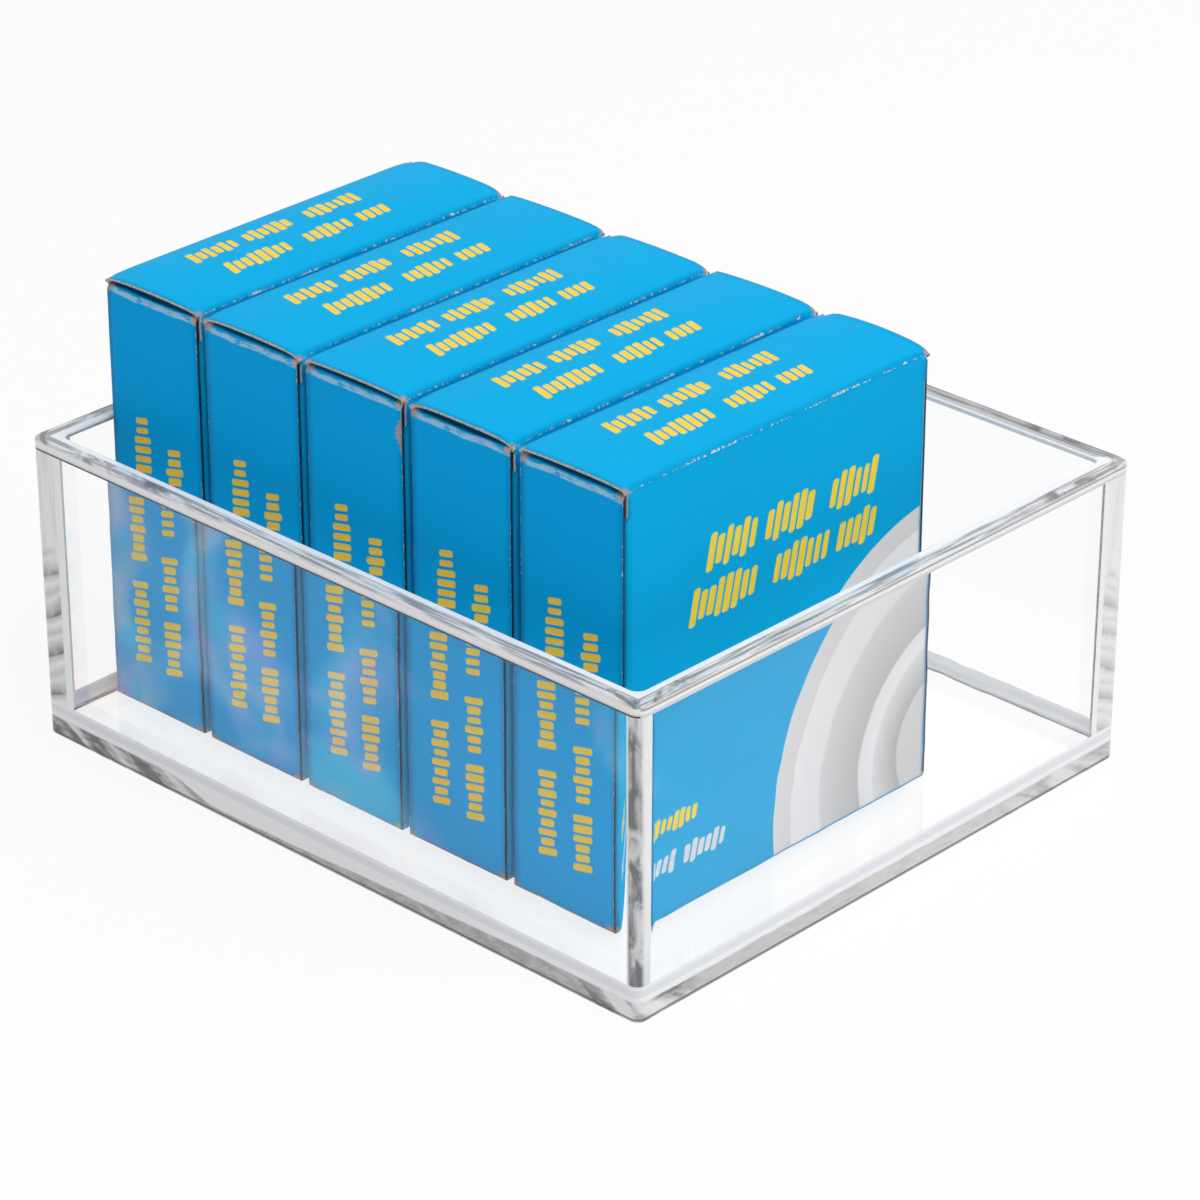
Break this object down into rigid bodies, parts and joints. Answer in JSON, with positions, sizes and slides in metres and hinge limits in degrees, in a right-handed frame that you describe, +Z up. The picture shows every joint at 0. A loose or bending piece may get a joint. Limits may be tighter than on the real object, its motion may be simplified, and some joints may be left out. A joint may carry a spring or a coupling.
{
  "type": "desk drawer tray with boxed tape rolls",
  "caption": "Clear moulded open-topped drawer tray holding a row of upright tuck-end paperboard cartons, each with a roll of tape on a plastic core.",
  "frame": {"origin": "centre of the tray's underside, on the surface it stands on", "axes": "+Z up; +X along the row of cartons, towards the wide free bay beside the last one; -Y towards the cartons' front closures"},
  "size_m": [0.1266, 0.1084, 0.0762],
  "materials": {
    "clear_plastic": "clear, polished",
    "printed_board": "blue printed paperboard with a satin varnish",
    "wound_tape": "frosted translucent film, wound tight",
    "core_plastic": "plain white moulded plastic"
  },
  "bodies": {
    "tray": {"tray": "clear_plastic"},
    "carton_1": {"carton_1": "printed_board", "tape_roll_1": "wound_tape", "core_1": "core_plastic"},
    "front_closure_1": {"front_closure_1": "printed_board"},
    "rear_closure_1": {"rear_closure_1": "printed_board"},
    "carton_2": {"carton_2": "printed_board", "tape_roll_2": "wound_tape", "core_2": "core_plastic"},
    "front_closure_2": {"front_closure_2": "printed_board"},
    "rear_closure_2": {"rear_closure_2": "printed_board"},
    "carton_3": {"carton_3": "printed_board", "tape_roll_3": "wound_tape", "core_3": "core_plastic"},
    "front_closure_3": {"front_closure_3": "printed_board"},
    "rear_closure_3": {"rear_closure_3": "printed_board"},
    "carton_4": {"carton_4": "printed_board", "tape_roll_4": "wound_tape", "core_4": "core_plastic"},
    "front_closure_4": {"front_closure_4": "printed_board"},
    "rear_closure_4": {"rear_closure_4": "printed_board"},
    "carton_5": {"carton_5": "printed_board", "tape_roll_5": "wound_tape", "core_5": "core_plastic"},
    "front_closure_5": {"front_closure_5": "printed_board"},
    "rear_closure_5": {"rear_closure_5": "printed_board"}
  },
  "joints": [
    {"name": "carton_1_lift", "type": "slide", "parent": "tray", "child": "carton_1", "axis": [0, 0, 1], "range_m": [0, 0.075]},
    {"name": "front_closure_1_hinge", "type": "hinge", "parent": "carton_1", "child": "front_closure_1", "pos_m": [-0.04865, -0.04125, 0.00455], "axis": [1, 0, 0], "range_deg": [0, 10.5]},
    {"name": "rear_closure_1_hinge", "type": "hinge", "parent": "carton_1", "child": "rear_closure_1", "pos_m": [-0.04865, 0.02325, 0.00455], "axis": [-1, 0, 0], "range_deg": [0, 29]},
    {"name": "carton_2_lift", "type": "slide", "parent": "tray", "child": "carton_2", "axis": [0, 0, 1], "range_m": [0, 0.075]},
    {"name": "front_closure_2_hinge", "type": "hinge", "parent": "carton_2", "child": "front_closure_2", "pos_m": [-0.0269, -0.04125, 0.00455], "axis": [1, 0, 0], "range_deg": [0, 10.5]},
    {"name": "rear_closure_2_hinge", "type": "hinge", "parent": "carton_2", "child": "rear_closure_2", "pos_m": [-0.0269, 0.02325, 0.00455], "axis": [-1, 0, 0], "range_deg": [0, 29]},
    {"name": "carton_3_lift", "type": "slide", "parent": "tray", "child": "carton_3", "axis": [0, 0, 1], "range_m": [0, 0.075]},
    {"name": "front_closure_3_hinge", "type": "hinge", "parent": "carton_3", "child": "front_closure_3", "pos_m": [-0.00515, -0.04125, 0.00455], "axis": [1, 0, 0], "range_deg": [0, 10.5]},
    {"name": "rear_closure_3_hinge", "type": "hinge", "parent": "carton_3", "child": "rear_closure_3", "pos_m": [-0.00515, 0.02325, 0.00455], "axis": [-1, 0, 0], "range_deg": [0, 29]},
    {"name": "carton_4_lift", "type": "slide", "parent": "tray", "child": "carton_4", "axis": [0, 0, 1], "range_m": [0, 0.075]},
    {"name": "front_closure_4_hinge", "type": "hinge", "parent": "carton_4", "child": "front_closure_4", "pos_m": [0.0166, -0.04125, 0.00455], "axis": [1, 0, 0], "range_deg": [0, 10.5]},
    {"name": "rear_closure_4_hinge", "type": "hinge", "parent": "carton_4", "child": "rear_closure_4", "pos_m": [0.0166, 0.02325, 0.00455], "axis": [-1, 0, 0], "range_deg": [0, 29]},
    {"name": "carton_5_lift", "type": "slide", "parent": "tray", "child": "carton_5", "axis": [0, 0, 1], "range_m": [0, 0.075]},
    {"name": "front_closure_5_hinge", "type": "hinge", "parent": "carton_5", "child": "front_closure_5", "pos_m": [0.03835, -0.04125, 0.00455], "axis": [1, 0, 0], "range_deg": [0, 10.5]},
    {"name": "rear_closure_5_hinge", "type": "hinge", "parent": "carton_5", "child": "rear_closure_5", "pos_m": [0.03835, 0.02325, 0.00455], "axis": [-1, 0, 0], "range_deg": [0, 29]}
  ]
}
